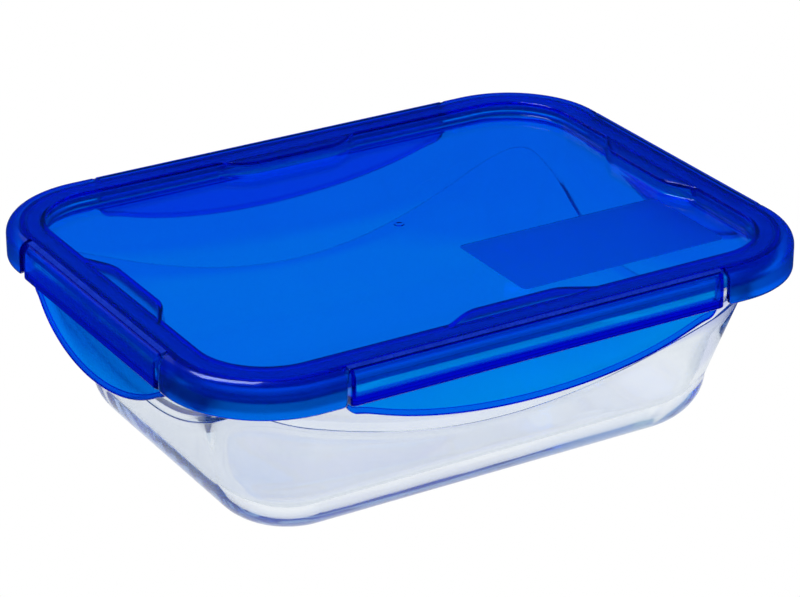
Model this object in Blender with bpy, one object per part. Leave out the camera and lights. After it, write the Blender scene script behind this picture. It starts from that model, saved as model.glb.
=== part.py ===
"""Rectangular glass storage container with a four-latch plastic lid.

The dish stands on Z = 0, centred on the origin. X runs along its long side and
-Y is its front. The lid's rim lies flat on top, and each of its four sides has
a latch flap that folds down over the dish's rim on a thin moulded hinge.

Profiles are written as (inset, depth) pairs: inset is measured inward from the
container's widest outline, depth downward from the top of the lid's rim.
"""

import math

import bmesh
import bpy
from mathutils import Matrix, Vector

# Overall size, in metres.
HALF_LENGTH = 0.120
HALF_WIDTH = 0.093
HEIGHT = 0.0760
CORNER_RADIUS = 0.038
CORNER_STEPS = 10

# Glass dish.
RIM_OUTER_INSET = 0.0070
RIM_INNER_INSET = 0.0118
RIM_TOP_DEPTH = 0.0046
RIM_BOTTOM_DEPTH = 0.0086
NECK_DEPTH = 0.0115
WALL_TOP_INSET = 0.0122
WALL_FOOT_INSET = 0.0236
WALL_CORNER_RADIUS = 0.0270
FLOOR_CORNER_RADIUS = 0.0075
WALL_THICKNESS = 0.0036
FLOOR_THICKNESS = 0.0050
FILLET_WIDTH = 0.0255
FILLET_HEIGHT = 0.0205
INNER_FILLET_WIDTH = 0.0218
INNER_FILLET_HEIGHT = 0.0172
FILLET_STEPS = 8

# Lid.
LAND_WIDTH = 0.0138
LAND_THICKNESS = 0.0018
RECESS_DEPTH = 0.0050
PANEL_THICKNESS = 0.0016
PLUG_WALL = 0.0016
SKIRT_DEPTH = 0.0128
SKIRT_WALL = 0.0020
SKIRT_ROUNDING = 0.0048
ROUNDING_STEPS = 5
BUMP_DEPTH = 0.0062
BUMP_HALF_LENGTH = 0.0290
BUMP_RAMP = 0.0150
BUMP_ROUNDNESS = 1.3
RAMP_STEPS = 8
RIM_GUARD_DEPTH = 0.0090
RIM_GUARD_INSET = 0.0053
RIM_GUARD_WALL = 0.0013

# Flaps and their moulded hinges.
HINGE_INSET = 0.0034
HINGE_DEPTH = 0.0005
HINGE_HALF_WIDTH = 0.0006
HINGE_THICKNESS = 0.0005
GAP = 0.0003
LONG_FLAP_HALF = 0.0722
SHORT_FLAP_HALF = 0.0502
FLAP_END_GAP = 0.0018
BAR_DEPTH = 0.0132
BAR_WALL = 0.0022
BEAD_INSET = 0.0066
BEAD_TOP_DEPTH = 0.0104
TAB_ROOT_INSET = 0.0044
TAB_THICKNESS = 0.0018
LONG_TAB_DROP = 0.0150
SHORT_TAB_DROP = 0.0168
TAB_LEAN = TAB_ROOT_INSET / SHORT_TAB_DROP
TAB_END_INSET = 0.0016
TAB_CURVE = 0.65
TAB_CORNER = 0.0042
TAB_CORNER_STEPS = 4
TAB_CORNER_BLEND = 0.0006
TAB_LEAST_DROP = 0.0009
TAB_STATIONS = 17

# Seal.
SEAL_OUTER_INSET = 0.0075
SEAL_INNER_INSET = 0.0118
SEAL_TOP_DEPTH = 0.0021
SEAL_BOTTOM_DEPTH = 0.0043

BLUE = (0.0, 0.06, 0.55, 1.0)
GLASS_TINT = (0.86, 0.91, 0.94, 1.0)
SEAL_GREY = (0.80, 0.82, 0.84, 1.0)
CUTTER_OVERRUN = 0.004


def clear_scene():
    for item in list(bpy.data.objects):
        bpy.data.objects.remove(item, do_unlink=True)


def make_material(name, color, roughness, transmission):
    material = bpy.data.materials.new(name)
    material.use_nodes = True
    shader = material.node_tree.nodes["Principled BSDF"]
    shader.inputs["Base Color"].default_value = color
    shader.inputs["Metallic"].default_value = 0.0
    shader.inputs["Roughness"].default_value = roughness
    shader.inputs["Transmission Weight"].default_value = transmission
    return material


def make_object(name, mesh):
    item = bpy.data.objects.new(name, mesh)
    bpy.context.scene.collection.objects.link(item)
    return item


def rounded_rectangle(inset, radius=None):
    """A round-cornered outline inset from the widest one, counter-clockwise."""
    half_x = HALF_LENGTH - inset
    half_y = HALF_WIDTH - inset
    if radius is None:
        radius = CORNER_RADIUS - inset
    points = []
    for corner in range(4):
        sign_x = 1 if corner in (0, 3) else -1
        sign_y = 1 if corner in (0, 1) else -1
        centre = Vector((sign_x * (half_x - radius), sign_y * (half_y - radius)))
        for step in range(CORNER_STEPS + 1):
            angle = math.pi / 2 * (corner + step / CORNER_STEPS)
            points.append(centre + radius * Vector((math.cos(angle), math.sin(angle))))
    return points


def bump(distance):
    """How far the recess wall stands inward, at a distance from mid-side."""
    share = min(max((BUMP_HALF_LENGTH - abs(distance)) / BUMP_RAMP, 0.0), 1.0)
    return BUMP_DEPTH * math.sin(math.pi / 2 * share) ** BUMP_ROUNDNESS


def recess_outline(offset):
    """The recess's outline with its four bumps, moved outward by offset."""
    outline = rounded_rectangle(LAND_WIDTH - offset)
    points = []
    for index, point in enumerate(outline):
        points.append(point)
        if index % (CORNER_STEPS + 1) == CORNER_STEPS:
            points.extend(bumped_side(point, outline[(index + 1) % len(outline)]))
    return points


def bumped_side(start, end):
    """Points along one straight side, drawn in towards the centre by its bump."""
    middle = (start + end) / 2
    along = (end - start).normalized()
    inward = Vector((-along.y, along.x))
    return [middle + along * station + inward * bump(station) for station in bump_stations()]


def bump_stations():
    ramp = [BUMP_HALF_LENGTH - BUMP_RAMP * step / RAMP_STEPS for step in range(RAMP_STEPS + 1)]
    return [-value for value in ramp] + ramp[::-1]


def to_ring(points, depth):
    return [Vector((point.x, point.y, HEIGHT - depth)) for point in points]


def loft(name, rings, closed):
    """Skin a list of equal rings; closed joins the last ring back to the first."""
    shape = bmesh.new()
    loops = [[shape.verts.new(point) for point in ring] for ring in rings]
    count = len(loops[0])
    pairs = list(zip(loops, loops[1:]))
    if closed:
        pairs.append((loops[-1], loops[0]))
    for lower, upper in pairs:
        for index in range(count):
            following = (index + 1) % count
            shape.faces.new((lower[index], lower[following], upper[following], upper[index]))
    if not closed:
        shape.faces.new(loops[0][::-1])
        shape.faces.new(loops[-1])
    bmesh.ops.recalc_face_normals(shape, faces=shape.faces[:])
    mesh = bpy.data.meshes.new(name)
    shape.to_mesh(mesh)
    shape.free()
    return make_object(name, mesh)


def prism(name, points, top_depth, bottom_depth):
    return loft(name, [to_ring(points, bottom_depth), to_ring(points, top_depth)], closed=False)


def box(name, low, high):
    corners = [Vector((low[0], low[1])), Vector((high[0], low[1]))]
    corners += [Vector((high[0], high[1])), Vector((low[0], high[1]))]
    rings = [[Vector((point.x, point.y, level)) for point in corners] for level in (low[2], high[2])]
    return loft(name, rings, closed=False)


def combine(target, tool, operation):
    """Apply one exact Boolean to the target and discard the tool."""
    modifier = target.modifiers.new(operation, "BOOLEAN")
    modifier.operation = operation
    modifier.solver = "EXACT"
    modifier.object = tool
    bpy.context.view_layer.update()
    result = bpy.data.meshes.new_from_object(target.evaluated_get(bpy.context.evaluated_depsgraph_get()))
    target.modifiers.remove(modifier)
    target.data = result
    bpy.data.objects.remove(tool, do_unlink=True)


def finish(item, material, sharp_angle):
    item.data.materials.clear()
    item.data.materials.append(material)
    item.data.shade_smooth()
    item.data.set_sharp_from_angle(angle=math.radians(sharp_angle))


def foot_rings(foot_inset, floor_depth, width, height, radius):
    """Rings down an elliptical round from a wall's foot to its floor."""
    rings = []
    for step in range(FILLET_STEPS + 1):
        angle = math.pi / 2 * step / FILLET_STEPS
        share = 1 - math.cos(angle)
        corner = radius + (FLOOR_CORNER_RADIUS - radius) * share
        depth = floor_depth - height * (1 - math.sin(angle))
        rings.append(to_ring(rounded_rectangle(foot_inset + width * share, corner), depth))
    return rings


def make_glass_dish(material):
    """One closed skin: up the outside, over the rim, down the inside."""
    inner_radius = WALL_CORNER_RADIUS - WALL_THICKNESS
    inner_top = WALL_TOP_INSET + WALL_THICKNESS
    inner_foot = WALL_FOOT_INSET + WALL_THICKNESS
    inner_floor = HEIGHT - FLOOR_THICKNESS
    rim = [
        (RIM_OUTER_INSET + 0.0020, RIM_BOTTOM_DEPTH + 0.0005),
        (RIM_OUTER_INSET + 0.0004, RIM_BOTTOM_DEPTH),
        (RIM_OUTER_INSET, RIM_BOTTOM_DEPTH - 0.0008),
        (RIM_OUTER_INSET, RIM_TOP_DEPTH + 0.0012),
        (RIM_OUTER_INSET + 0.0004, RIM_TOP_DEPTH + 0.0004),
        (RIM_OUTER_INSET + 0.0012, RIM_TOP_DEPTH),
        (RIM_INNER_INSET - 0.0010, RIM_TOP_DEPTH),
        (RIM_INNER_INSET - 0.0003, RIM_TOP_DEPTH + 0.0003),
        (RIM_INNER_INSET, RIM_TOP_DEPTH + 0.0010),
        (RIM_INNER_INSET + 0.0002, RIM_BOTTOM_DEPTH - 0.0010),
    ]
    rings = foot_rings(WALL_FOOT_INSET, HEIGHT, FILLET_WIDTH, FILLET_HEIGHT, WALL_CORNER_RADIUS)[::-1]
    rings.append(to_ring(rounded_rectangle(WALL_TOP_INSET, WALL_CORNER_RADIUS), NECK_DEPTH))
    rings += [to_ring(rounded_rectangle(inset), depth) for inset, depth in rim]
    rings.append(to_ring(rounded_rectangle(inner_top, inner_radius), NECK_DEPTH + WALL_THICKNESS))
    rings += foot_rings(inner_foot, inner_floor, INNER_FILLET_WIDTH, INNER_FILLET_HEIGHT, inner_radius)
    dish = loft("glass_dish", rings, closed=False)
    finish(dish, material, 40)
    return dish


def lid_cap():
    """Solid block under the rim's rounded top edge, before it is hollowed."""
    rings = [to_ring(rounded_rectangle(0.0), SKIRT_DEPTH)]
    for step in range(ROUNDING_STEPS + 1):
        angle = math.pi / 2 * step / ROUNDING_STEPS
        inset = SKIRT_ROUNDING * (1 - math.cos(angle))
        depth = SKIRT_ROUNDING * (1 - math.sin(angle))
        rings.append(to_ring(rounded_rectangle(inset), depth))
    return loft("lid", rings, closed=False)


def flap_slot(half_length, along_x, side):
    """Everything outside the lid's hinge edge over one flap's length."""
    reach = half_length + FLAP_END_GAP
    limit = (HALF_WIDTH if along_x else HALF_LENGTH)
    near = limit - HINGE_INSET - HINGE_HALF_WIDTH - GAP
    far = limit + CUTTER_OVERRUN
    low_z = HEIGHT - SKIRT_DEPTH - CUTTER_OVERRUN
    high_z = HEIGHT + CUTTER_OVERRUN
    crosswise = sorted((side * near, side * far))
    if along_x:
        return box("slot", (-reach, crosswise[0], low_z), (reach, crosswise[1], high_z))
    return box("slot", (crosswise[0], -reach, low_z), (crosswise[1], reach, high_z))


def ring_wall(name, outer_points, inner_points, top_depth, bottom_depth):
    rings = [
        to_ring(outer_points, bottom_depth),
        to_ring(outer_points, top_depth),
        to_ring(inner_points, top_depth),
        to_ring(inner_points, bottom_depth),
    ]
    return loft(name, rings, closed=True)


def make_lid(material):
    lid = lid_cap()
    hollow = prism("hollow", rounded_rectangle(SKIRT_WALL), LAND_THICKNESS, SKIRT_DEPTH + CUTTER_OVERRUN)
    combine(lid, hollow, "DIFFERENCE")
    for side in (-1, 1):
        combine(lid, flap_slot(LONG_FLAP_HALF, True, side), "DIFFERENCE")
        combine(lid, flap_slot(SHORT_FLAP_HALF, False, side), "DIFFERENCE")
    plug_bottom = RECESS_DEPTH + PANEL_THICKNESS
    embed = LAND_THICKNESS / 2
    combine(lid, prism("plug", recess_outline(PLUG_WALL), embed, plug_bottom), "UNION")
    combine(lid, prism("recess", recess_outline(0.0), -CUTTER_OVERRUN, RECESS_DEPTH), "DIFFERENCE")
    rim_guard = ring_wall("rim_guard", rounded_rectangle(RIM_GUARD_INSET),
                          rounded_rectangle(RIM_GUARD_INSET + RIM_GUARD_WALL), embed, RIM_GUARD_DEPTH)
    combine(lid, rim_guard, "UNION")
    finish(lid, material, 30)
    return lid


def tab_drop(distance, half_length, deepest):
    """How far the finger tab hangs below the bar, at a distance from mid-flap.

    A long crescent, smoothly joined to a quarter-round corner at each end.
    """
    fraction = min(abs(distance) / (half_length - TAB_END_INSET), 1.0)
    crescent = deepest * (1 - fraction ** 2) ** TAB_CURVE
    short = min(max(TAB_CORNER - (half_length - abs(distance)), 0.0), TAB_CORNER)
    corner = math.sqrt(TAB_CORNER ** 2 - short ** 2)
    spread = math.sqrt((crescent - corner) ** 2 + TAB_CORNER_BLEND ** 2)
    return max((crescent + corner + spread) / 2, TAB_LEAST_DROP)


def flap_section(drop):
    """One flap's section at a place where its tab hangs down by drop."""
    foot = TAB_ROOT_INSET - TAB_LEAN * drop
    edge = HINGE_INSET - HINGE_HALF_WIDTH - GAP
    section = [(edge, HINGE_DEPTH - HINGE_THICKNESS / 2)]
    for step in range(1, ROUNDING_STEPS + 1):
        angle = math.pi / 2 * step / ROUNDING_STEPS
        section.append((edge * (1 - math.sin(angle)), edge * 1.6 * (1 - math.cos(angle))))
    section += [
        (0.0, BAR_DEPTH - 0.0008),
        (0.0006, BAR_DEPTH),
        (TAB_ROOT_INSET - 0.0002, BAR_DEPTH + 0.0001),
        (foot, BAR_DEPTH + drop - 0.0004),
        (foot + 0.0005, BAR_DEPTH + drop),
        (foot + TAB_THICKNESS - 0.0004, BAR_DEPTH + drop),
        (foot + TAB_THICKNESS, BAR_DEPTH + drop - 0.0004),
        (TAB_ROOT_INSET + TAB_THICKNESS, BAR_DEPTH + 0.0002),
        (BEAD_INSET, BAR_DEPTH - 0.0008),
        (BEAD_INSET, BEAD_TOP_DEPTH + 0.0008),
        (BEAD_INSET - 0.0014, BEAD_TOP_DEPTH),
        (BAR_WALL + 0.0004, BEAD_TOP_DEPTH - 0.0012),
        (BAR_WALL, BEAD_TOP_DEPTH - 0.0022),
        (BAR_WALL, HINGE_INSET + 0.0004),
        (edge, LAND_THICKNESS + 0.0006),
    ]
    return section


def flap_stations(half_length):
    """Places along a flap, close together round each corner of its tab."""
    ends = []
    for step in range(TAB_CORNER_STEPS):
        angle = math.pi / 2 * step / TAB_CORNER_STEPS
        ends.append(half_length - TAB_CORNER * (1 - math.cos(angle)))
    inner = half_length - TAB_CORNER
    middle = []
    for step in range(TAB_STATIONS + 1):
        middle.append(-inner * math.cos(math.pi * step / TAB_STATIONS))
    return [-value for value in ends] + middle + ends[::-1]


def make_flap(name, half_length, along_x, side, material):
    """Loft the section along the side; the tab's drop follows its curve."""
    deepest = LONG_TAB_DROP if along_x else SHORT_TAB_DROP
    rings = []
    for station in flap_stations(half_length):
        ring = []
        for inset, depth in flap_section(tab_drop(station, half_length, deepest)):
            out = (HALF_WIDTH if along_x else HALF_LENGTH) - inset
            flat = (-side * station, side * out) if along_x else (side * out, side * station)
            ring.append(Vector((flat[0], flat[1], HEIGHT - depth)))
        rings.append(ring)
    flap = loft(name, rings, closed=False)
    place_origin(flap, hinge_point(along_x, side))
    finish(flap, material, 35)
    return flap


def hinge_point(along_x, side):
    out = side * ((HALF_WIDTH if along_x else HALF_LENGTH) - HINGE_INSET)
    level = HEIGHT - HINGE_DEPTH
    return Vector((0.0, out, level)) if along_x else Vector((out, 0.0, level))


def place_origin(item, point):
    item.data.transform(Matrix.Translation(-point))
    item.location = point


def make_hinge_web(name, half_length, along_x, side, material):
    point = hinge_point(along_x, side)
    thin = HINGE_THICKNESS / 2
    if along_x:
        reach = Vector((half_length, HINGE_HALF_WIDTH, thin))
    else:
        reach = Vector((HINGE_HALF_WIDTH, half_length, thin))
    web = box(name, point - reach, point + reach)
    finish(web, material, 30)
    return web


def make_seal(material):
    pairs = [
        (SEAL_OUTER_INSET, SEAL_BOTTOM_DEPTH - 0.0004),
        (SEAL_OUTER_INSET, SEAL_TOP_DEPTH),
        (SEAL_INNER_INSET, SEAL_TOP_DEPTH),
        (SEAL_INNER_INSET, SEAL_BOTTOM_DEPTH - 0.0004),
        (SEAL_INNER_INSET - 0.0006, SEAL_BOTTOM_DEPTH),
        (SEAL_OUTER_INSET + 0.0006, SEAL_BOTTOM_DEPTH),
    ]
    rings = [to_ring(rounded_rectangle(inset), depth) for inset, depth in pairs]
    seal = loft("silicone_seal", rings, closed=True)
    finish(seal, material, 30)
    return seal


def main():
    clear_scene()
    glass = make_material("clear_glass", GLASS_TINT, 0.02, 1.0)
    plastic = make_material("blue_lid_plastic", BLUE, 0.15, 0.6)
    rubber = make_material("seal_silicone", SEAL_GREY, 0.5, 0.2)
    make_glass_dish(glass)
    make_lid(plastic)
    make_seal(rubber)
    sides = [
        ("front", LONG_FLAP_HALF, True, -1),
        ("back", LONG_FLAP_HALF, True, 1),
        ("left", SHORT_FLAP_HALF, False, -1),
        ("right", SHORT_FLAP_HALF, False, 1),
    ]
    for label, half_length, along_x, side in sides:
        flap_plastic = make_material(label + "_flap_plastic", BLUE, 0.15, 0.6)
        web_plastic = make_material(label + "_web_plastic", BLUE, 0.2, 0.6)
        make_flap(label + "_flap", half_length, along_x, side, flap_plastic)
        make_hinge_web(label + "_hinge_web", half_length, along_x, side, web_plastic)


main()
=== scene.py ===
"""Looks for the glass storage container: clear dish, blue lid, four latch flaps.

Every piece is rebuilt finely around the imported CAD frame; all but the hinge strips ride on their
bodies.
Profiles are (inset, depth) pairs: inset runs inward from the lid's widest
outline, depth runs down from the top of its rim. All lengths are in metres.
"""

import math

import bmesh
import bpy
from mathutils import Matrix, Vector


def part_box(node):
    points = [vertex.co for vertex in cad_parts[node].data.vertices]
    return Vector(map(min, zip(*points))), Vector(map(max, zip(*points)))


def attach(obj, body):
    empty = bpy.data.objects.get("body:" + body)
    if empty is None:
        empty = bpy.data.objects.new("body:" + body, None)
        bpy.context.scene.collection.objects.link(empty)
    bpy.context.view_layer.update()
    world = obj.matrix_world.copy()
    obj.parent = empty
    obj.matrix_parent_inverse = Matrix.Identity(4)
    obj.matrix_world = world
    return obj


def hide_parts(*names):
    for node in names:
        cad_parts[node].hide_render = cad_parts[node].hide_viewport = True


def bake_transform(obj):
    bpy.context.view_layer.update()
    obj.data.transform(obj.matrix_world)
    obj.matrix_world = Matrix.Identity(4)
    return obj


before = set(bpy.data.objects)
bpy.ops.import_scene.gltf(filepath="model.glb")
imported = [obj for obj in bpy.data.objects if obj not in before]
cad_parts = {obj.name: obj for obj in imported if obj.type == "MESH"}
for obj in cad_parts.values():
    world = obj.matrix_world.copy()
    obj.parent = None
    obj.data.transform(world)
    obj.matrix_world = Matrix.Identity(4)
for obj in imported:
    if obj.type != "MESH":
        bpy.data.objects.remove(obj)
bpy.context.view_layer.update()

MM = 0.001

# Sizes read from the frame.
LID_LOW, LID_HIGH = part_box("lid")
DISH_LOW, DISH_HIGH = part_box("glass_dish")
SEAL_LOW, SEAL_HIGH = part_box("silicone_seal")
HALF_X = LID_HIGH.x
HALF_Y = LID_HIGH.y
TOP = LID_HIGH.z
SKIRT_DEPTH = TOP - LID_LOW.z
CORNER = 38.0 * MM
RIM_OUT = HALF_X - DISH_HIGH.x
RIM_DEPTH = TOP - DISH_HIGH.z

# Lid moulding.
LAND = 13.8 * MM
LAND_THICK = 1.8 * MM
RECESS = 5.0 * MM
PANEL_THICK = 1.6 * MM
WALL = 1.6 * MM
PLUG = LAND - WALL
WALL_DRAFT = 0.15 * MM
PANEL_START = 2.2 * MM
SKIRT_WALL = 1.9 * MM
SHOULDER = 4.8 * MM
HINGE_EDGE = 4.3 * MM
GUARD_OUT = 5.3 * MM
GUARD_IN = 6.6 * MM
GUARD_DEPTH = 9.0 * MM
RIB_DEPTH = 4.2 * MM
INNER_RIB = 1.0 * MM
BUMP_DEPTH = 6.2 * MM
BUMP_HALF = 29.0 * MM
BUMP_RAMP = 15.0 * MM
BUMP_ROUNDNESS = 1.3
SLOT_GAP = 1.8 * MM
SKIRT_END_RADIUS = 1.5 * MM
SKIRT_RIM = ((0.0, 0.8 * MM), (0.12 * MM, 0.35 * MM), (0.4 * MM, 0.08 * MM))
END_EASE = 0.3 * MM
ROUND_STEPS = 10

# Sides, counter-clockwise from the back: outward normal and direction along.
SIDES = {
    "back": (Vector((0, 1)), Vector((-1, 0))),
    "left": (Vector((-1, 0)), Vector((0, -1))),
    "front": (Vector((0, -1)), Vector((1, 0))),
    "right": (Vector((1, 0)), Vector((0, 1))),
}
SIDE_ORDER = ("back", "left", "front", "right")


def half_across(side):
    return HALF_Y if side in ("back", "front") else HALF_X


def half_along(side):
    return HALF_X if side in ("back", "front") else HALF_Y


def flap_half(side):
    """Half the flap's length along its side, read from its CAD node."""
    low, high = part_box(side + "_flap")
    return high.x if side in ("back", "front") else high.y


def slot_end(side):
    return flap_half(side) + SLOT_GAP


# ---------------------------------------------------------------- outlines

def compass(angle):
    return Vector((math.cos(angle), math.sin(angle)))


def corner_point(index, share, inset, radius):
    """A point on one rounded corner; share runs 0 to 1 counter-clockwise."""
    sign_x = 1 if index in (0, 3) else -1
    sign_y = 1 if index in (0, 1) else -1
    centre = Vector((sign_x * (HALF_X - inset - radius), sign_y * (HALF_Y - inset - radius)))
    return centre + radius * compass(math.pi / 2 * (index + share))


def side_point(side, along, inset, radius):
    """A point on one straight side; along is scaled when the radius differs."""
    normal, direction = SIDES[side]
    straight = half_along(side) - CORNER
    scale = (half_along(side) - inset - radius) / straight
    return normal * (half_across(side) - inset) + direction * (along * scale)


def point_at(station, inset, radius=None):
    kind, where, value = station
    if radius is None:
        radius = CORNER - inset
    if kind == "corner":
        return corner_point(where, value, inset, radius)
    return side_point(where, value, inset, radius)


def perimeter(corner_steps, side_stations):
    """Stations round the whole outline; side_stations(side) lists one side's."""
    stations = []
    for index, side in enumerate(SIDE_ORDER):
        for step in range(corner_steps + 1):
            stations.append(("corner", index, step / corner_steps))
        stations += [("side", side, value) for value in side_stations(side)]
    return stations


def spread(first, last, count):
    return [first + (last - first) * step / count for step in range(count + 1)]


def even_side(count):
    """Side stations spaced evenly, without the two ends the corners give."""
    def stations(side):
        straight = half_along(side) - CORNER
        return spread(-straight, straight, count)[1:-1]
    return stations


# ---------------------------------------------------------------- profiles

SHORTEST = 1e-6
STRAIGHT = 0.01
FILLET_REACH = 0.49


def fillet(before, corner, after, radius, steps):
    """Points that round one corner of a profile; always steps + 1 of them."""
    a, b, c = Vector(before), Vector(corner), Vector(after)
    first, second = a - b, c - b
    if radius <= 0 or first.length < SHORTEST or second.length < SHORTEST:
        return [b.copy() for _ in range(steps + 1)]
    cosine = max(-1.0, min(1.0, first.normalized().dot(second.normalized())))
    half = math.acos(cosine) / 2
    if half > math.pi / 2 - STRAIGHT:
        return [b.copy() for _ in range(steps + 1)]
    reach = min(radius / math.tan(half), FILLET_REACH * min(first.length, second.length))
    start = b + first.normalized() * reach
    end = b + second.normalized() * reach
    points = []
    for step in range(steps + 1):
        t = step / steps
        outer, pull, inner = (1 - t) ** 2, 2 * math.sin(half) * t * (1 - t), t ** 2
        points.append((outer * start + pull * b + inner * end) / (outer + pull + inner))
    return points


def filleted(corners, steps, closed):
    """Round every (inset, depth, radius) corner of a profile."""
    count = len(corners)
    points = []
    for index, (inset, depth, radius) in enumerate(corners):
        if not closed and index in (0, count - 1):
            points.append(Vector((inset, depth)))
            continue
        before = corners[index - 1][:2]
        after = corners[(index + 1) % count][:2]
        points += fillet(before, (inset, depth), after, radius, steps)
    return points


def smooth(value):
    value = min(max(value, 0.0), 1.0)
    return value * value * (3 - 2 * value)


def drawn_back(radius, away):
    """How far a quarter-round edge lies back, at a distance from its end."""
    gap = max(radius - away, 0.0)
    return radius - math.sqrt(max(radius ** 2 - gap ** 2, 0.0))


# ---------------------------------------------------------------- mesh tools

def to_object(shape, name, weld=1e-6):
    """Turn a bmesh into an object, with doubled points merged."""
    bmesh.ops.remove_doubles(shape, verts=shape.verts[:], dist=weld)
    bmesh.ops.dissolve_degenerate(shape, dist=weld, edges=shape.edges[:])
    bmesh.ops.recalc_face_normals(shape, faces=shape.faces[:])
    mesh = bpy.data.meshes.new(name)
    shape.to_mesh(mesh)
    shape.free()
    item = bpy.data.objects.new(name, mesh)
    bpy.context.scene.collection.objects.link(item)
    return item


def strip(shape, first, second, closed):
    """Quads between two equal rows of vertices."""
    count = len(first)
    for index in range(count if closed else count - 1):
        following = (index + 1) % count
        shape.faces.new((first[index], first[following], second[following], second[index]))


def loft(name, rings, closed_rings):
    """Skin equal closed rings; closed_rings joins the last back to the first."""
    shape = bmesh.new()
    rows = [[shape.verts.new(point) for point in ring] for ring in rings]
    for lower, upper in zip(rows, rows[1:]):
        strip(shape, lower, upper, True)
    if closed_rings:
        strip(shape, rows[-1], rows[0], True)
    else:
        shape.faces.new(rows[0][::-1])
        shape.faces.new(rows[-1])
    return to_object(shape, name)


def raised(point, depth):
    return Vector((point.x, point.y, TOP - depth))


def combine(target, tool, operation):
    """Apply one exact Boolean to the target and discard the tool."""
    modifier = target.modifiers.new(operation, "BOOLEAN")
    modifier.operation = operation
    modifier.solver = "EXACT"
    modifier.object = tool
    bpy.context.view_layer.update()
    graph = bpy.context.evaluated_depsgraph_get()
    result = bpy.data.meshes.new_from_object(target.evaluated_get(graph))
    target.modifiers.remove(modifier)
    target.data = result
    bpy.data.objects.remove(tool, do_unlink=True)


def finish_mesh(item, material, sharp_angle):
    item.data.materials.clear()
    item.data.materials.append(material)
    item.data.shade_smooth()
    item.data.set_sharp_from_angle(angle=math.radians(sharp_angle))


# ---------------------------------------------------------------- materials

def new_material(name):
    material = bpy.data.materials.new(name)
    material.use_nodes = True
    tree = material.node_tree
    return material, tree, tree.nodes["Principled BSDF"]


def noise(tree, scale, detail, seed):
    """Noise over the object's own metres, moved by seed so pieces differ."""
    coordinates = tree.nodes.new("ShaderNodeTexCoord")
    mapping = tree.nodes.new("ShaderNodeMapping")
    mapping.inputs["Location"].default_value = (seed, seed * 0.37, seed * 0.71)
    texture = tree.nodes.new("ShaderNodeTexNoise")
    texture.inputs["Scale"].default_value = scale
    texture.inputs["Detail"].default_value = detail
    tree.links.new(coordinates.outputs["Object"], mapping.inputs["Vector"])
    tree.links.new(mapping.outputs["Vector"], texture.inputs["Vector"])
    return texture.outputs["Fac"]


def remap(tree, source, low, high, new_low, new_high):
    node = tree.nodes.new("ShaderNodeMapRange")
    node.inputs["From Min"].default_value = low
    node.inputs["From Max"].default_value = high
    node.inputs["To Min"].default_value = new_low
    node.inputs["To Max"].default_value = new_high
    tree.links.new(source, node.inputs["Value"])
    return node.outputs["Result"]


def calc(tree, operation, first, second=None):
    node = tree.nodes.new("ShaderNodeMath")
    node.operation = operation
    for socket, value in zip(node.inputs, (first, second)):
        if value is None:
            continue
        if isinstance(value, (int, float)):
            socket.default_value = value
        else:
            tree.links.new(value, socket)
    return node.outputs["Value"]


def tint(tree, factor, first, second):
    node = tree.nodes.new("ShaderNodeMix")
    node.data_type = "RGBA"
    node.inputs["A"].default_value = (*first, 1.0)
    node.inputs["B"].default_value = (*second, 1.0)
    tree.links.new(factor, node.inputs["Factor"])
    return node.outputs["Result"]


def tint_over(tree, factor, under, color):
    """One more colour laid over a colour output where factor is 1."""
    node = tree.nodes.new("ShaderNodeMix")
    node.data_type = "RGBA"
    tree.links.new(under, node.inputs["A"])
    node.inputs["B"].default_value = (*color, 1.0)
    tree.links.new(factor, node.inputs["Factor"])
    return node.outputs["Result"]


def add_bump(tree, shader, heights):
    """Chain bumps; heights lists (source, distance in metres)."""
    normal = None
    for source, distance in heights:
        node = tree.nodes.new("ShaderNodeBump")
        node.inputs["Strength"].default_value = 1.0
        node.inputs["Distance"].default_value = distance
        tree.links.new(source, node.inputs["Height"])
        if normal is not None:
            tree.links.new(normal, node.inputs["Normal"])
        normal = node.outputs["Normal"]
    tree.links.new(normal, shader.inputs["Normal"])


def absorb(tree, color, density):
    volume = tree.nodes.new("ShaderNodeVolumeAbsorption")
    volume.inputs["Color"].default_value = (*color, 1.0)
    volume.inputs["Density"].default_value = density
    output = tree.nodes["Material Output"]
    tree.links.new(volume.outputs["Volume"], output.inputs["Volume"])


def inside_mask(tree, low, high, radius, soft, level, above):
    """1 inside a round-cornered rectangle above or below a level, 0 elsewhere."""
    coordinates = tree.nodes.new("ShaderNodeTexCoord")
    split = tree.nodes.new("ShaderNodeSeparateXYZ")
    tree.links.new(coordinates.outputs["Object"], split.inputs["Vector"])
    over = []
    for axis in (0, 1):
        middle = (low[axis] + high[axis]) / 2
        half = (high[axis] - low[axis]) / 2
        distance = calc(tree, "ABSOLUTE", calc(tree, "SUBTRACT", split.outputs[axis], middle))
        over.append(calc(tree, "MAXIMUM", calc(tree, "SUBTRACT", distance, half - radius), 0.0))
    square = [calc(tree, "MULTIPLY", value, value) for value in over]
    reach = calc(tree, "SQRT", calc(tree, "ADD", square[0], square[1]))
    inside = remap(tree, reach, radius - soft, radius + soft, 1.0, 0.0)
    side = calc(tree, "GREATER_THAN" if above else "LESS_THAN", split.outputs[2], level)
    return calc(tree, "MULTIPLY", inside, side)


def height_band(tree, levels, soft):
    """1 between two heights, easing to 0 outside them."""
    coordinates = tree.nodes.new("ShaderNodeTexCoord")
    split = tree.nodes.new("ShaderNodeSeparateXYZ")
    tree.links.new(coordinates.outputs["Object"], split.inputs["Vector"])
    height = split.outputs["Z"]
    over = remap(tree, height, levels[0] - soft, levels[0], 0.0, 1.0)
    under = remap(tree, height, levels[1], levels[1] + soft, 1.0, 0.0)
    return calc(tree, "MULTIPLY", over, under)


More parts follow.
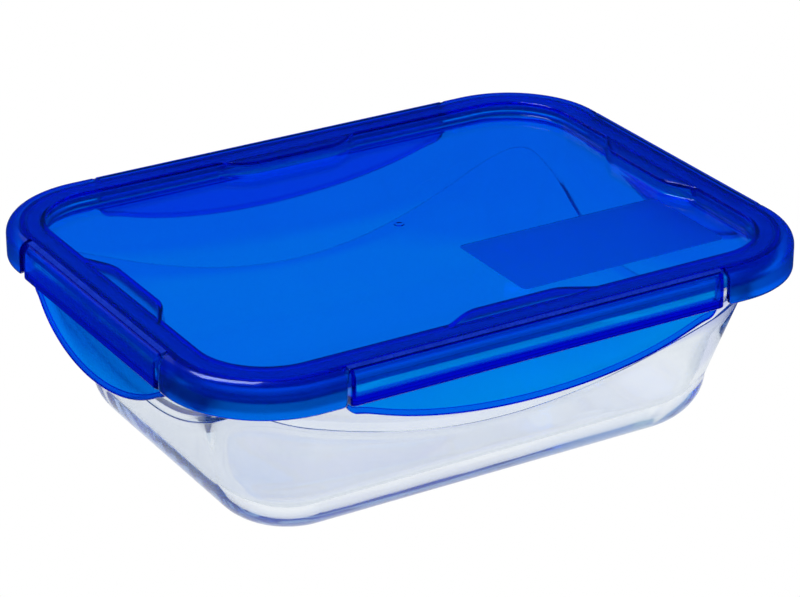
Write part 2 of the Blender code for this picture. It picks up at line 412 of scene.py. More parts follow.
BLUE_ABSORB = (0.0, 0.872, 0.9972)
BLUE_DENSITY = 6000.0
BLUE_GLOSS = (0.06, 0.30, 1.0)
BLUE_SKIN = ((0.93, 0.96, 1.0), (1.0, 1.0, 1.0))
BLUE_IOR = 1.49
BLUE_SPECULAR = 0.2
COAT_ROUGHNESS = 0.04
EDGE_BLEND = 0.35
FLOW_SCALE = 26.0
FLOW_HEIGHT = 0.04 * MM
GRAIN_SCALE = 1400.0
GRAIN_HEIGHT = 0.0015 * MM
GRAIN_ROUGHNESS = 0.03
# Painted shade laid over the blue plastic where a surface is seen edge on.
EDGE_PAINTED_SHADE = (0.06, 0.20, 0.72)
# Painted shade for a band of the lid's skirt, between the two levels below.
SKIRT_PAINTED_SHADE = (0.55, 0.54, 0.60)
CLEAR = 0.004
SKIRT_SHADE_LEVELS = (TOP - 9.5 * MM, TOP - 5.8 * MM)
# Painted shade for a strip along the foot of each flap's bar, between the two levels below.
BAR_FOOT_PAINTED_SHADE = (0.60, 0.60, 0.62)
BAR_FOOT_SHADE_LEVELS = (TOP - 13.3 * MM, TOP - 11.6 * MM)
PATCH_LOW = (12.5 * MM, -61.0 * MM)
PATCH_HIGH = (95.0 * MM, -19.0 * MM)
PATCH_RADIUS = 2.0 * MM
PATCH_FROST = 0.30
PATCH_SOFT = 0.25 * MM
PATCH_LEVEL = TOP - RECESS - PANEL_THICK / 2
PANEL_SOFT = 0.2 * MM
PANEL_LEVEL = TOP - RECESS + 0.3 * MM
SKIRT_SOFT = 3.0 * MM
PIT_SCALE = 3200.0
PIT_HEIGHT = 0.01 * MM
# Painted shade over the frosted patch; its frost itself is roughness and pits.
PATCH_PAINTED_SHADE = (0.12, 0.34, 0.95)


def edge_on(tree):
    """0 where a surface faces the eye, rising to 1 where it is seen edge on; it masks painted
    shade.
    """
    node = tree.nodes.new("ShaderNodeLayerWeight")
    node.inputs["Blend"].default_value = EDGE_BLEND
    return node.outputs["Facing"]


def set_blue_body(tree, shader):
    """What the lid, the flaps and the hinge strips share."""
    shader.inputs["IOR"].default_value = BLUE_IOR
    shader.inputs["Specular IOR Level"].default_value = BLUE_SPECULAR
    shader.inputs["Specular Tint"].default_value = (*BLUE_GLOSS, 1.0)
    absorb(tree, BLUE_ABSORB, BLUE_DENSITY)


def finish_panel(tree, skin, rough, haze):
    """The recessed panel is clear, and a band of the skirt outside it is darkened with painted
    shade.
    """
    half = (HALF_X - LAND, HALF_Y - LAND)
    low = (-half[0], -half[1])
    corner = CORNER - LAND
    panel = inside_mask(tree, low, half, corner, PANEL_SOFT, PANEL_LEVEL, False)
    rough = calc(tree, "SUBTRACT", rough, calc(tree, "MULTIPLY", panel, haze - CLEAR))
    middle = inside_mask(tree, low, half, corner, SKIRT_SOFT, TOP - SHOULDER, False)
    # Painted shade: a band on the skirt's upper part is darkened, standing in for the dark rim
    # behind it.
    band = height_band(tree, SKIRT_SHADE_LEVELS, 1.0 * MM)
    painted_shade_band = calc(tree, "MULTIPLY", band, calc(tree, "SUBTRACT", 1.0, middle))
    return tint_over(tree, painted_shade_band, skin, SKIRT_PAINTED_SHADE), rough


def blue_plastic(name, seed, haze, coat, has_panel):
    """Blue polypropylene, deeper in colour where it is thick, with painted shade where it is seen
    edge on.

    Its haze blurs what lies behind; a smooth coat keeps its outside glossy.
    """
    material, tree, shader = new_material(name)
    set_blue_body(tree, shader)
    shader.inputs["Transmission Weight"].default_value = 1.0
    shader.inputs["Coat Weight"].default_value = coat
    shader.inputs["Coat Roughness"].default_value = COAT_ROUGHNESS
    flow = noise(tree, FLOW_SCALE, 2.0, seed)
    grain = noise(tree, GRAIN_SCALE, 2.0, seed + 3.1)
    skin = tint(tree, remap(tree, flow, 0.35, 0.65, 0.0, 1.0), *BLUE_SKIN)
    # Painted shade: the colour darkens to navy where the surface is seen edge on.
    skin = tint_over(tree, remap(tree, edge_on(tree), 0.5, 1.0, 0.0, 1.0), skin, EDGE_PAINTED_SHADE)
    rough = remap(tree, grain, 0.3, 0.7, haze, haze + GRAIN_ROUGHNESS)
    heights = [(flow, FLOW_HEIGHT), (grain, GRAIN_HEIGHT)]
    if has_panel:
        skin, rough = finish_panel(tree, skin, rough, haze)
        mask = inside_mask(tree, PATCH_LOW, PATCH_HIGH, PATCH_RADIUS, PATCH_SOFT, PATCH_LEVEL, True)
        # Painted shade: the frosted patch is darkened, standing in for less light passing through
        # its frost.
        skin = tint_over(tree, mask, skin, PATCH_PAINTED_SHADE)
        rough = calc(tree, "ADD", rough, calc(tree, "MULTIPLY", mask, PATCH_FROST))
        pits = calc(tree, "MULTIPLY", mask, noise(tree, PIT_SCALE, 2.0, seed + 7.7))
        heights.append((pits, PIT_HEIGHT))
    else:
        # Painted shade: a dark strip along the foot of each flap's bar.
        skin = tint_over(tree, height_band(tree, BAR_FOOT_SHADE_LEVELS, 0.5 * MM), skin, BAR_FOOT_PAINTED_SHADE)
    tree.links.new(rough, shader.inputs["Roughness"])
    tree.links.new(skin, shader.inputs["Base Color"])
    add_bump(tree, shader, heights)
    return material


STRAINED_SKIN = ((0.004, 0.035, 0.50), (0.008, 0.05, 0.62))
STRAINED_CLEAR = 0.35
STRAINED_SCALE = 180.0


def strained_plastic(name):
    """The lid's plastic where bending has clouded it: part scattering, part clear."""
    material, tree, shader = new_material(name)
    set_blue_body(tree, shader)
    shader.inputs["Transmission Weight"].default_value = STRAINED_CLEAR
    cloud = noise(tree, STRAINED_SCALE, detail=3.0, seed=3.9)
    grain = noise(tree, GRAIN_SCALE, detail=2.0, seed=7.0)
    skin = tint(tree, remap(tree, cloud, 0.35, 0.65, 0.0, 1.0), *STRAINED_SKIN)
    tree.links.new(skin, shader.inputs["Base Color"])
    tree.links.new(remap(tree, grain, 0.3, 0.7, 0.25, 0.32), shader.inputs["Roughness"])
    add_bump(tree, shader, [(cloud, FLOW_HEIGHT), (grain, GRAIN_HEIGHT)])
    return material


GLASS_SKIN = ((0.93, 0.95, 0.945), (0.96, 0.97, 0.965))
GLASS_ABSORB = (0.20, 0.50, 0.72)
GLASS_DENSITY = 9.0
GLASS_IOR = 1.47
GLASS_WAVE = 0.3 * MM
# Painted shade laid over the glass where it is seen edge on.
GLASS_EDGE_PAINTED_SHADE = (0.40, 0.48, 0.56)


def clear_glass(name):
    """Pressed glass, with painted grey shade where it is seen edge on, and a mould's slow waves."""
    material, tree, shader = new_material(name)
    shader.inputs["Transmission Weight"].default_value = 1.0
    shader.inputs["IOR"].default_value = GLASS_IOR
    wave = noise(tree, scale=16.0, detail=1.5, seed=11.0)
    smear = noise(tree, scale=70.0, detail=4.0, seed=17.0)
    skin = tint(tree, remap(tree, smear, 0.35, 0.7, 0.0, 1.0), *GLASS_SKIN)
    # Painted shade: the glass greys where it is seen edge on.
    skin = tint_over(tree, remap(tree, edge_on(tree), 0.3, 0.95, 0.0, 1.0), skin, GLASS_EDGE_PAINTED_SHADE)
    tree.links.new(skin, shader.inputs["Base Color"])
    tree.links.new(remap(tree, smear, 0.4, 0.75, 0.0, 0.03), shader.inputs["Roughness"])
    add_bump(tree, shader, [(wave, GLASS_WAVE)])
    absorb(tree, GLASS_ABSORB, GLASS_DENSITY)
    return material


SILICONE_SKIN = ((0.80, 0.83, 0.87), (0.90, 0.92, 0.94))
SILICONE_IOR = 1.41
SILICONE_CLEAR = 0.25
SILICONE_GRAIN = 0.01 * MM


def silicone(name):
    """Milky silicone with a faint matt grain."""
    material, tree, shader = new_material(name)
    shader.inputs["Transmission Weight"].default_value = SILICONE_CLEAR
    shader.inputs["IOR"].default_value = SILICONE_IOR
    cloud = noise(tree, scale=55.0, detail=3.0, seed=5.0)
    grain = noise(tree, scale=2200.0, detail=2.0, seed=9.0)
    tree.links.new(tint(tree, cloud, *SILICONE_SKIN), shader.inputs["Base Color"])
    tree.links.new(remap(tree, grain, 0.3, 0.7, 0.38, 0.52), shader.inputs["Roughness"])
    add_bump(tree, shader, [(grain, SILICONE_GRAIN)])
    return material


# ---------------------------------------------------------------- dish

WALL_TOP = (12.2 * MM, 11.5 * MM, 27.0 * MM)
WALL_FOOT = (23.6 * MM, 55.5 * MM, 27.0 * MM)
GLASS_WALL = 3.6 * MM
FLOOR_THICK = 5.0 * MM
FLOOR_RADIUS = 7.5 * MM
FOOT_WIDTH = 25.5 * MM
INNER_FOOT_WIDTH = 21.8 * MM
INNER_FOOT_HEIGHT = 17.2 * MM
FOOT_STEPS = 16
WAVE_LOW = 43.0 * MM
WAVE_RISE = 26.0 * MM
WAVE_TURN = 0.92
WAVE_HALF = 0.6 * MM
WAVE_ROWS = ((0.6, 0.0), (0.34, 0.12), (0.12, 0.36), (-0.12, 0.36), (-0.34, 0.12), (-0.6, 0.0))
RIM_WIDTH = 4.8 * MM
RIM_LIP = 3.9 * MM
RIM_UNDERCUT = 5.0 * MM
THROAT_DEPTH = 3.6 * MM
THROAT_IN = 0.3 * MM


def blend_pair(first, second, share):
    return tuple(a + (b - a) * share for a, b in zip(first, second))


def foot_rings(foot, floor_depth, width):
    """(inset, depth, radius) down the elliptical round from wall to floor."""
    rings = []
    height = floor_depth - foot[1]
    for step in range(FOOT_STEPS + 1):
        angle = math.pi / 2 * step / FOOT_STEPS
        share = 1 - math.cos(angle)
        radius = foot[2] + (FLOOR_RADIUS - foot[2]) * share
        rings.append((foot[0] + width * share, foot[1] + height * math.sin(angle), radius))
    return rings


def wave_depth(station):
    """Depth of the embossed wave: lowest at mid-side, highest at corners."""
    kind, where, value = station
    quarter = math.pi / 4 * WALL_TOP[2]
    if kind == "corner":
        side = SIDE_ORDER[where - 1] if value < 0.5 else SIDE_ORDER[where]
        straight = half_along(side) - WALL_TOP[0] - WALL_TOP[2]
        away = straight + quarter * (2 * value if value < 0.5 else 2 * (1 - value))
    else:
        straight = half_along(where) - WALL_TOP[0] - WALL_TOP[2]
        away = abs(value) * straight / (half_along(where) - CORNER)
    share = away / (straight + quarter)
    rise = share ** 2 - max(share - WAVE_TURN, 0.0) ** 2 / (1 - WAVE_TURN)
    return WAVE_LOW - WAVE_RISE * rise


def wall_rows(station):
    """Outer wall from foot to neck; rows gather at the embossed wave."""
    crest = wave_depth(station)
    below = crest + WAVE_HALF
    above = crest - WAVE_HALF
    depths = [(WALL_FOOT[1] + (below - WALL_FOOT[1]) * share, 0.0) for share in (0.25, 0.5, 0.75)]
    depths += [(crest + offset * MM, height * MM) for offset, height in WAVE_ROWS]
    depths += [(above + (WALL_TOP[1] - above) * share, 0.0) for share in (0.33, 0.67)]
    rows = []
    for depth, height in depths:
        share = (depth - WALL_TOP[1]) / (WALL_FOOT[1] - WALL_TOP[1])
        inset, _, radius = blend_pair(WALL_TOP, WALL_FOOT, share)
        rows.append((inset - height, depth, radius + height))
    return rows


def rim_rings():
    """The rounded rim bead and the short inner throat below it."""
    rim_in = RIM_OUT + RIM_WIDTH
    corners = [
        (WALL_TOP[0], WALL_TOP[1], 0.0),
        (WALL_TOP[0] - 0.2 * MM, RIM_DEPTH + RIM_UNDERCUT, 1.2 * MM),
        (RIM_OUT, RIM_DEPTH + RIM_LIP, 0.9 * MM),
        (RIM_OUT, RIM_DEPTH, 1.3 * MM),
        (rim_in, RIM_DEPTH, 1.2 * MM),
        (rim_in + THROAT_IN, RIM_DEPTH + THROAT_DEPTH, 2.0 * MM),
        (WALL_TOP[0] + GLASS_WALL, WALL_TOP[1] + GLASS_WALL, 0.0),
    ]
    points = filleted(corners, 5, False)[1:-1]
    return [(point.x, point.y, CORNER - point.x) for point in points]


def dish_profile(station):
    """(inset, depth, radius) from the middle of the foot, over the rim, to the floor."""
    floor = TOP - FLOOR_THICK
    radius = WALL_FOOT[2] - GLASS_WALL
    inner_foot = (WALL_FOOT[0] + GLASS_WALL, floor - INNER_FOOT_HEIGHT, radius)
    radius = WALL_TOP[2] - GLASS_WALL
    inner_top = (WALL_TOP[0] + GLASS_WALL, WALL_TOP[1] + GLASS_WALL, radius)
    rows = foot_rings(WALL_FOOT, TOP, FOOT_WIDTH)[::-1]
    rows += wall_rows(station)
    rows.append(WALL_TOP)
    rows += rim_rings()
    rows.append(inner_top)
    rows.append(blend_pair(inner_top, inner_foot, 0.5))
    return rows + foot_rings(inner_foot, floor, INNER_FOOT_WIDTH)


def make_dish(material):
    columns = []
    for station in perimeter(corner_steps=20, side_stations=even_side(28)):
        column = []
        for inset, depth, radius in dish_profile(station):
            column.append(raised(point_at(station, inset, radius), depth))
        columns.append(column)
    rings = [[column[row] for column in columns] for row in range(len(columns[0]))]
    dish = loft("dish_glass", rings, False)
    finish_mesh(dish, material, sharp_angle=50)
    return dish


# ---------------------------------------------------------------- lid

def bump(station):
    """How far the recess wall stands inward at a station."""
    kind, _, value = station
    if kind == "corner":
        return 0.0
    share = min(max((BUMP_HALF - abs(value)) / BUMP_RAMP, 0.0), 1.0)
    return BUMP_DEPTH * math.sin(math.pi / 2 * share) ** BUMP_ROUNDNESS


def lid_side_stations(side):
    """Stations crowd at the slot's ends and along the bump's two ramps."""
    straight = half_along(side) - CORNER
    end = slot_end(side)
    values = spread(BUMP_HALF, BUMP_HALF - BUMP_RAMP, 24)
    values += [BUMP_HALF + 6 * MM, BUMP_HALF + 14 * MM]
    values += spread(0.0, BUMP_HALF - BUMP_RAMP, 5)[:-1]
    values.append(end)
    ease = [0.05, 0.12, 0.2, 0.3, 0.5, 0.75, 1.0, 1.25, 1.5]
    values += [end + step * MM for step in ease if end + step * MM < straight - 0.2 * MM]
    values = sorted(set(round(value, 7) for value in values))
    return [-value for value in reversed(values) if value > 0] + values


def core_profile(station):
    """Panel top, recess wall, land, hinge edge, then back along the underside."""
    push = bump(station)
    opened = smooth((push - INNER_RIB) / (0.8 * MM))
    pocket_in = PLUG + push
    rib_in = min(PLUG + INNER_RIB, pocket_in)
    ceiling = RIB_DEPTH + (LAND_THICK - RIB_DEPTH) * opened
    floor = RECESS + PANEL_THICK
    upper = [
        (LAND + push + PANEL_START, RECESS, 0.0),
        (LAND + push + WALL_DRAFT, RECESS, 0.5 * MM),
        (LAND + push, 0.0, 0.8 * MM),
        (HINGE_EDGE, 0.0, 0.0),
    ]
    under = [
        (HINGE_EDGE, LAND_THICK, 0.0),
        (GUARD_OUT, LAND_THICK, 0.3 * MM),
        (GUARD_OUT, GUARD_DEPTH, 0.5 * MM),
        (GUARD_IN, GUARD_DEPTH, 0.5 * MM),
        (GUARD_IN, LAND_THICK, 0.3 * MM),
        (PLUG, LAND_THICK, 0.3 * MM),
        (PLUG, RIB_DEPTH, 0.2 * MM * opened),
        (rib_in, RIB_DEPTH, 0.2 * MM * opened),
        (rib_in, ceiling, 0.3 * MM * opened),
        (pocket_in, ceiling, 0.5 * MM * opened),
        (pocket_in, floor, 1.1 * MM),
        (LAND + push + PANEL_START, floor, 0.0),
    ]
    return filleted(upper, 5, False), filleted(under, 4, False)


def skirt_profile(station):
    """Outer and inner path of the skirt, from the hinge edge to its lower rim."""
    kind, where, value = station
    away = SHOULDER if kind == "corner" else abs(value) - slot_end(where)
    ease = drawn_back(END_EASE, away)
    depth = SKIRT_DEPTH - drawn_back(SKIRT_END_RADIUS, away)
    radius = SHOULDER - SKIRT_WALL
    outer = [(HINGE_EDGE, 0.0)]
    inner = [(HINGE_EDGE, LAND_THICK)]
    for step in range(ROUND_STEPS + 1):
        angle = math.pi / 2 * step / ROUND_STEPS
        across, down = math.sin(angle), 1 - math.cos(angle)
        inset = min(SHOULDER * (1 - across), HINGE_EDGE)
        outer.append((inset + ease * across, SHOULDER * down))
        inset = min(SHOULDER - radius * across, HINGE_EDGE)
        inner.append((inset, LAND_THICK + radius * down))
    outer += [(ease + inset, depth - rise) for inset, rise in SKIRT_RIM]
    inner += [(SKIRT_WALL - inset, depth - rise) for inset, rise in SKIRT_RIM]
    outer.append((SKIRT_WALL / 2, depth))
    inner.append((SKIRT_WALL / 2, depth))
    return outer, inner


def in_skirt(station):
    kind, where, value = station
    return kind == "corner" or abs(value) >= slot_end(where) - 1e-7


def between_slots(first, second):
    """True when the lid has its skirt between two neighbouring stations."""
    if not (in_skirt(first) and in_skirt(second)):
        return False
    if first[0] == "side" and second[0] == "side" and first[1] == second[1]:
        return first[2] * second[2] > 0
    return True


def make_lid_body(stations):
    """The core goes all round; the skirt is added only beyond the flap slots."""
    shape = bmesh.new()

    def row(station, pairs):
        return [shape.verts.new(raised(point_at(station, pair[0]), pair[1])) for pair in pairs]

    core = [core_profile(station) for station in stations]
    uppers = [row(station, profile[0]) for station, profile in zip(stations, core)]
    unders = [row(station, profile[1]) for station, profile in zip(stations, core)]
    skirts = {}
    for index, station in enumerate(stations):
        if in_skirt(station):
            outer, inner = skirt_profile(station)
            skirts[index] = (row(station, outer), row(station, inner))
    count = len(stations)
    for index in range(count):
        following = (index + 1) % count
        strip(shape, uppers[index], uppers[following], False)
        strip(shape, unders[index], unders[following], False)
        if between_slots(stations[index], stations[following]):
            for part in (0, 1):
                strip(shape, skirts[index][part], skirts[following][part], False)
        else:
            edge = [uppers[index][-1], unders[index][0]]
            next_edge = [uppers[following][-1], unders[following][0]]
            strip(shape, edge, next_edge, False)
    for index, (outer, inner) in skirts.items():
        before = between_slots(stations[index - 1], stations[index])
        after = between_slots(stations[index], stations[(index + 1) % count])
        if before != after:
            strip(shape, outer, inner, False)
    shape.faces.new([row[0] for row in uppers])
    shape.faces.new([row[-1] for row in unders])
    return to_object(shape, "lid_moulding")


def prism(name, outline, top_depth, bottom_depth):
    rings = [[raised(point, depth) for point in outline] for depth in (bottom_depth, top_depth)]
    return loft(name, rings, False)


def round_box(low, high, radius, steps):
    points = []
    for index in range(4):
        x = (high[0] - radius) if index in (0, 3) else (low[0] + radius)
        y = (high[1] - radius) if index in (0, 1) else (low[1] + radius)
        for step in range(steps + 1):
            points.append(Vector((x, y)) + radius * compass(math.pi / 2 * (index + step / steps)))
    return points


def turned(name, centre, profile, steps):
    """A round moulded mark from (radius, depth) pairs, from its foot to its middle."""
    rings = []
    for radius, depth in profile:
        angles = [2 * math.pi * step / steps for step in range(steps)]
        rings.append([raised(Vector(centre) + radius * compass(angle), depth) for angle in angles])
    return loft(name, rings, False)


PATCH_DEPTH = 0.10 * MM
PATCH_CLEAR = RECESS - 2 * MM
GATE_CENTRE = (4.9 * MM, 7.7 * MM)
GATE_RADIUS = 2.0 * MM
GATE_PROFILE = (
    (0.0, -0.4 * MM),
    (0.0, 0.08 * MM),
    (0.4 * MM, 0.22 * MM),
    (0.8 * MM, 0.16 * MM),
    (1.2 * MM, 0.07 * MM),
    (1.6 * MM, 0.04 * MM),
)


def make_lid(material):
    stations = perimeter(corner_steps=26, side_stations=lid_side_stations)
    lid = make_lid_body(stations)
    patch = round_box(PATCH_LOW, PATCH_HIGH, PATCH_RADIUS, steps=8)
    combine(lid, prism("patch", patch, PATCH_CLEAR, RECESS + PATCH_DEPTH), "DIFFERENCE")
    gate = [(GATE_RADIUS - inset, RECESS - rise) for inset, rise in GATE_PROFILE]
    combine(lid, turned("gate", GATE_CENTRE, gate, steps=40), "UNION")
    finish_mesh(lid, material, sharp_angle=35)
    return lid


# ---------------------------------------------------------------- flaps

BAR_TOP = 0.5 * MM
BAR_EDGE = 2.5 * MM
BAR_DEPTH = 13.2 * MM
BAR_WALL = 1.3 * MM
RIDGE = (0.95 * MM, 1.7 * MM)
BROW = (0.25 * MM, 3.4 * MM)
FACE_TOP = 7.0 * MM
HOLLOW_TOP = 3.9 * MM
BEAD_IN = 6.6 * MM
BEAD_TOP = 11.4 * MM
TAB_ROOT = 4.4 * MM
TAB_THICK = 1.45 * MM
TAB_LIP = 0.8 * MM
TAB_LIP_HEIGHT = 1.7 * MM
TAB_LIP_FADE = 4.0 * MM
TAB_DROPS = {"front": 15.0 * MM, "back": 15.0 * MM, "left": 16.8 * MM, "right": 16.8 * MM}
TAB_LEAN = TAB_ROOT / (16.8 * MM)
TAB_CURVE = 0.65
TAB_LEAST = 0.9 * MM
TAB_CORNER = 4.2 * MM
TAB_CORNER_BLEND = 2.4 * MM
TAB_END = 1.6 * MM
FLAP_EASE = 0.35 * MM
FACE_ROUND = 2.0 * MM
FACE_ROUND_SHARE = 0.7
END_WALL = 1.4 * MM
END_WALL_EASE = 0.4 * MM
END_WALL_IN = 4.6 * MM


def tab_drop(side, along):
    """Below the bar: a long crescent joined to a quarter round at each end."""
    half = flap_half(side)
    share = min(abs(along) / (half - TAB_END), 1.0)
    crescent = TAB_DROPS[side] * (1 - share ** 2) ** TAB_CURVE
    short = min(max(TAB_CORNER - (half - abs(along)), 0.0), TAB_CORNER)
    corner = math.sqrt(TAB_CORNER ** 2 - short ** 2)
    gap = math.sqrt((crescent - corner) ** 2 + TAB_CORNER_BLEND ** 2)
    return max((crescent + corner + gap) / 2, TAB_LEAST)


def flap_section(drop, away):
    """The flap's section where its tab hangs by drop, from hinge edge round.

    Away is the distance to the flap's end, where its face rounds inward and an
    end wall closes the hollow behind it.
    """
    face = drawn_back(FACE_ROUND, away) * FACE_ROUND_SHARE
    closing = smooth((END_WALL + END_WALL_EASE - away) / END_WALL_EASE)
    inside = BAR_WALL + (END_WALL_IN - BAR_WALL) * closing
    lip = min(TAB_LIP_HEIGHT, 0.5 * drop)
    thick = TAB_LIP * smooth(drop / TAB_LIP_FADE)
    foot = TAB_ROOT - TAB_LEAN * drop
    knee = TAB_ROOT - TAB_LEAN * (drop - lip)
    end = BAR_DEPTH + drop
    corners = [
        (BAR_EDGE, BAR_TOP, 0.2 * MM),
        (RIDGE[0] + 0.5 * face, RIDGE[1], 0.4 * MM),
        (BROW[0] + face, BROW[1], 1.2 * MM),
        (face, FACE_TOP, 2.5 * MM),
        (face, BAR_DEPTH, 0.7 * MM),
        (TAB_ROOT - 0.1 * MM, BAR_DEPTH + 0.1 * MM, 0.3 * MM),
        (foot, end, 0.5 * MM),
        (foot + TAB_THICK + thick, end, 0.5 * MM),
        (knee + TAB_THICK + thick, end - lip, 0.3 * MM),
        (knee + TAB_THICK, end - lip - 0.2 * MM, 0.3 * MM),
        (TAB_ROOT + TAB_THICK, BAR_DEPTH + 0.2 * MM, 0.3 * MM),
        (BEAD_IN, BAR_DEPTH - 0.3 * MM, 0.7 * MM),
        (BEAD_IN, BEAD_TOP + 0.2 * MM, 0.9 * MM),
        (inside, BEAD_TOP - 1.0 * MM, 1.0 * MM),
        (inside, HOLLOW_TOP, 1.6 * MM),
        (BAR_EDGE, BAR_TOP + BAR_WALL, 0.2 * MM),
    ]
    return filleted(corners, 4, True)


def shrunk(points, amount):
    """Move a closed section's points inward by amount."""
    moved = []
    count = len(points)
    for index, point in enumerate(points):
        before = points[index - 1]
        after = points[(index + 1) % count]
        along = after - before
        if along.length < SHORTEST:
            moved.append(point.copy())
            continue
        along.normalize()
        moved.append(point + Vector((-along.y, along.x)) * -amount)
    return moved


def flap_stations(side):
    half = flap_half(side)
    inner = half - TAB_CORNER
    values = [inner * math.sin(math.pi / 2 * step / 36) for step in range(37)]
    for step in range(10):
        angle = math.pi / 2 * step / 10
        values.append(half - TAB_CORNER * (1 - math.cos(angle)))
    values += [half - 0.2 * MM, half - 0.08 * MM]
    values += [half - END_WALL - step * 0.1 * MM for step in range(5)]
    values = sorted(set(round(value, 7) for value in values))
    return [-value for value in reversed(values) if value > 0] + values


def make_flap(side, material):
    normal, direction = SIDES[side]
    half = flap_half(side)
    rings = []
    for along in flap_stations(side):
        away = half - abs(along)
        section = flap_section(tab_drop(side, along), away)
        if away < FLAP_EASE:
            section = shrunk(section, drawn_back(FLAP_EASE, away))
        ring = []
        for inset, depth in section:
            point = normal * (half_across(side) - inset) + direction * along
            ring.append(raised(point, depth))
        rings.append(ring)
    flap = loft(side + "_latch_flap", rings, False)
    finish_mesh(flap, material, sharp_angle=35)
    return flap


HINGE_INSET = 3.4 * MM
HINGE_TOP = 0.2 * MM
GROOVE_HALF = 0.9 * MM
GROOVE_DEPTH = 0.1 * MM
HINGE_THICK = 0.7 * MM


def make_hinge(side, material):
    """A moulded strip, grooved along its top and thinner where it meets the flap."""
    normal, direction = SIDES[side]
    half = flap_half(side)
    across = spread(HINGE_EDGE, BAR_EDGE, 10)
    section = []
    for inset in across:
        slope = (HINGE_EDGE - inset) / (HINGE_EDGE - BAR_EDGE)
        groove = smooth(1 - abs(inset - HINGE_INSET) / GROOVE_HALF)
        depth = HINGE_TOP + (BAR_TOP - HINGE_TOP) * slope
        section.append((inset, depth + GROOVE_DEPTH * groove))
    section += [(BAR_EDGE, BAR_TOP + HINGE_THICK), (HINGE_EDGE, LAND_THICK)]
    rings = []
    for along in spread(-half, half, 24):
        ring = []
        for inset, depth in section:
            point = normal * (half_across(side) - inset) + direction * along
            ring.append(raised(point, depth))
        rings.append(ring)
    hinge = loft(side + "_hinge_strip", rings, False)
    finish_mesh(hinge, material, sharp_angle=40)
    return hinge


# ---------------------------------------------------------------- seal

SEAL_WIDTH = 4.3 * MM
SEAL_GROOVE = 0.5 * MM


def make_seal(material):
    """A ring with two lips below, parted by a groove."""
    outer = HALF_X - SEAL_HIGH.x
    top = TOP - SEAL_HIGH.z
    bottom = TOP - SEAL_LOW.z
    inner = outer + SEAL_WIDTH
    middle = outer + SEAL_WIDTH / 2
    corners = [
        (outer, top, 0.5 * MM),
        (inner, top, 0.5 * MM),
        (inner, bottom, 0.7 * MM),
        (middle + SEAL_GROOVE, bottom, 0.3 * MM),
        (middle, bottom - SEAL_GROOVE, 0.3 * MM),
        (middle - SEAL_GROOVE, bottom, 0.3 * MM),
        (outer, bottom, 0.7 * MM),
    ]
    section = filleted(corners, 4, True)
    stations = perimeter(corner_steps=20, side_stations=even_side(6))
    rings = []
    for inset, depth in section:
        rings.append([raised(point_at(station, inset), depth) for station in stations])
    seal = loft("seal_ring", rings, True)
    finish_mesh(seal, material, sharp_angle=50)
    return seal


# ---------------------------------------------------------------- studio

AZIMUTH = math.radians(30.93)
ELEVATION = math.radians(24.91)
CAMERA_DISTANCE = 1.08683
CAMERA_RIGHT = 0.56 * MM
CAMERA_DOWN = 26.75 * MM
LENS = 141.187


def make_camera():
    """The view's axis passes just below and right of the rim plane's centre."""
    forward = Vector((math.sin(AZIMUTH) * math.cos(ELEVATION),
                      math.cos(AZIMUTH) * math.cos(ELEVATION), -math.sin(ELEVATION)))
    right = Vector((math.cos(AZIMUTH), -math.sin(AZIMUTH), 0.0))
    up = right.cross(forward)
    centre = Vector((0.0, 0.0, TOP))
    data = bpy.data.cameras.new("camera")
    data.sensor_width = 36.0
    data.lens = LENS
    camera = bpy.data.objects.new("camera", data)
    camera.location = centre - forward * CAMERA_DISTANCE + right * CAMERA_RIGHT - up * CAMERA_DOWN
    camera.rotation_euler = Matrix((right, up, -forward)).transposed().to_euler()
    bpy.context.scene.collection.objects.link(camera)
    bpy.context.scene.camera = camera


TABLE_RADIUS = 6.0
TABLE_GAP = 0.4 * MM
LIGHT_TARGET = (0.0, 0.0, 0.07)
REFLECTED = (0.004, 0.035, 0.22)
THROUGH = (0.70, 0.73, 1.0)
CARD_CENTRE = (0.01, 0.015, 0.0)
CARD_RADIUS = 0.13
CARD_EDGE = 0.02
CARD_SHARE = 0.12


def flagged(tree, share):
    """White to the eye; where share is 1, dimmer through the pieces and dark in gloss."""
    path = tree.nodes.new("ShaderNodeLightPath")
    outside = calc(tree, "SUBTRACT", 1.0, path.outputs["Is Transmission Ray"])
    gloss = calc(tree, "MULTIPLY", path.outputs["Is Glossy Ray"], outside)
    indirect = calc(tree, "SUBTRACT", 1.0, path.outputs["Is Camera Ray"])
    dimmed = tint(tree, gloss, THROUGH, REFLECTED)
    white = tree.nodes.new("ShaderNodeMix")
    white.data_type = "RGBA"
    white.inputs["A"].default_value = (1.0, 1.0, 1.0, 1.0)
    tree.links.new(dimmed, white.inputs["B"])
    tree.links.new(calc(tree, "MULTIPLY", indirect, share), white.inputs["Factor"])
    return white.outputs["Result"]


def make_floor():
    """A wide round table top, softly lit from within."""
    shape = bmesh.new()
    bmesh.ops.create_circle(shape, cap_ends=True, segments=96, radius=TABLE_RADIUS)
    floor = to_object(shape, "table_top")
    floor.location.z = -TABLE_GAP
    material, tree, shader = new_material("table_white")
    material.cycles.emission_sampling = "NONE"
    shader.inputs["Base Color"].default_value = (0.0, 0.0, 0.0, 1.0)
    shader.inputs["Roughness"].default_value = 0.8
    shader.inputs["Specular IOR Level"].default_value = 0.0
    shader.inputs["Emission Strength"].default_value = 1.0
    coordinates = tree.nodes.new("ShaderNodeTexCoord")
    distance = tree.nodes.new("ShaderNodeVectorMath")
    distance.operation = "DISTANCE"
    distance.inputs[1].default_value = CARD_CENTRE
    tree.links.new(coordinates.outputs["Object"], distance.inputs[0])
    away = distance.outputs["Value"]
    share = remap(tree, away, CARD_RADIUS, CARD_RADIUS + CARD_EDGE, CARD_SHARE, 1.0)
    tree.links.new(flagged(tree, share), shader.inputs["Emission Color"])
    floor.data.materials.append(material)


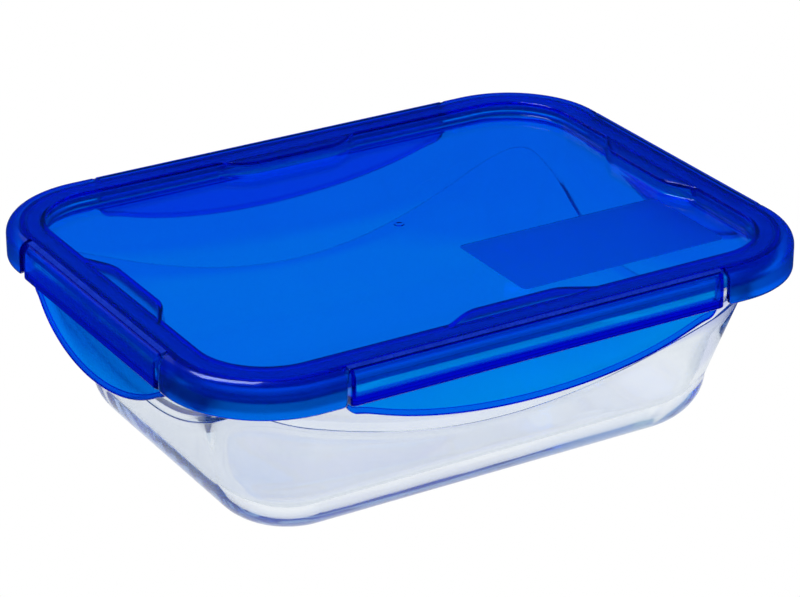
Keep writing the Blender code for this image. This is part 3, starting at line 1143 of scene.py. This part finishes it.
def make_softbox(name, position, size, power, color):
    data = bpy.data.lights.new(name, "AREA")
    data.color = color
    data.shape = "RECTANGLE"
    data.size, data.size_y = size
    data.energy = power
    light = bpy.data.objects.new(name, data)
    light.location = position
    aim = Vector(LIGHT_TARGET) - Vector(position)
    light.rotation_euler = aim.to_track_quat("-Z", "Y").to_euler()
    bpy.context.scene.collection.objects.link(light)


def make_world():
    """An even white studio tent, flagged as the table is."""
    world = bpy.data.worlds.new("studio")
    world.use_nodes = True
    tree = world.node_tree
    background = tree.nodes["Background"]
    background.inputs["Strength"].default_value = 1.0
    tree.links.new(flagged(tree, 1.0), background.inputs["Color"])
    world.cycles.sampling_method = "NONE"
    bpy.context.scene.world = world


def make_studio():
    make_camera()
    make_floor()
    make_world()
    make_softbox("back_left_softbox", (-0.28, 1.00, 0.78), (0.50, 0.28), 0.15, (0.55, 0.8, 1.0))
    make_softbox("overhead_softbox", (-0.32, 0.30, 1.15), (0.45, 0.65), 5.0, (0.85, 0.93, 1.0))
    settings = bpy.context.scene
    settings.view_settings.view_transform = "Standard"
    settings.view_settings.look = "None"
    settings.cycles.max_bounces = 64
    settings.cycles.transmission_bounces = 48
    settings.cycles.glossy_bounces = 48
    settings.cycles.diffuse_bounces = 4
    settings.cycles.use_denoising = True


# ---------------------------------------------------------------- build

def build():
    dish = make_dish(clear_glass("clear_glass_fine"))
    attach(dish, "dish")
    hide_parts("glass_dish")
    lid = make_lid(blue_plastic("blue_lid_fine", seed=1.0, haze=0.20, coat=1.0, has_panel=True))
    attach(lid, "lid")
    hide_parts("lid")
    seal = make_seal(silicone("seal_silicone_fine"))
    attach(seal, "lid")
    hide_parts("silicone_seal")
    flap_plastic = blue_plastic("blue_flap_fine", seed=2.3, haze=0.13, coat=0.15, has_panel=False)
    hinge_plastic = strained_plastic("blue_hinge_fine")
    for side in SIDE_ORDER:
        body = side + "_flap"
        flap = make_flap(side, flap_plastic)
        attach(flap, body)
        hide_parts(side + "_flap")
        hinge = make_hinge(side, hinge_plastic)
        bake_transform(hinge)
        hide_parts(side + "_hinge_web")


make_studio()
build()
